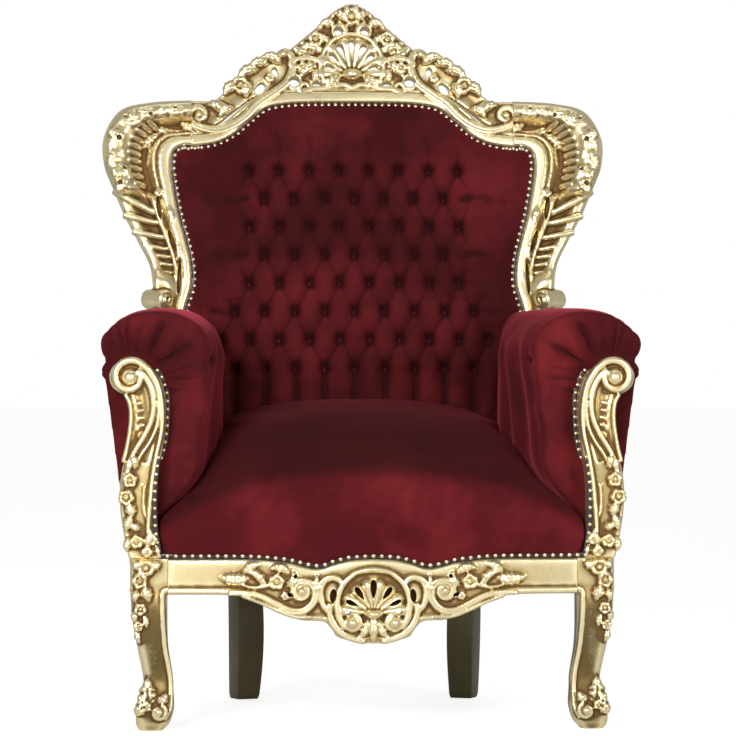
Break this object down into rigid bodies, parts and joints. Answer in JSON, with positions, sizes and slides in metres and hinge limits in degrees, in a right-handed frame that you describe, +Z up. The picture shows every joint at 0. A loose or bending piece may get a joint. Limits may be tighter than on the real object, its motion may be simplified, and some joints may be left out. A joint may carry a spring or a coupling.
{
  "type": "carved throne armchair",
  "caption": "High-backed throne armchair with a gilded carved frame, pierced shell crest, winged back, scrolled arms and deep-buttoned velvet upholstery.",
  "frame": {"origin": "on the floor, in the middle of the throne's footprint", "axes": "+Z up, +Y towards the back, +X towards the right as seen from the front"},
  "size_m": [0.8942, 0.761, 1.2488],
  "materials": {
    "gilt_wood": "antique gold leaf over carved wood, rubbed and toned brown in the hollows",
    "velvet": "burgundy velvet with a short pile",
    "dark_wood": "dark bronze paint, half matt"
  },
  "bodies": {
    "root": {"front_leg_right": "gilt_wood", "front_leg_left": "gilt_wood", "back_leg_right": "dark_wood", "back_leg_left": "dark_wood", "front_rail": "gilt_wood", "side_rail_right": "gilt_wood", "side_rail_left": "gilt_wood", "back_rail": "gilt_wood", "arm_post_right": "gilt_wood", "arm_post_left": "gilt_wood", "back_stile_right": "gilt_wood", "back_stile_left": "gilt_wood", "crest_rail": "gilt_wood", "back_cushion": "velvet", "outer_back": "velvet", "arm_pad_right": "velvet", "arm_pad_left": "velvet", "seat_cushion": "velvet"}
  },
  "joints": []
}
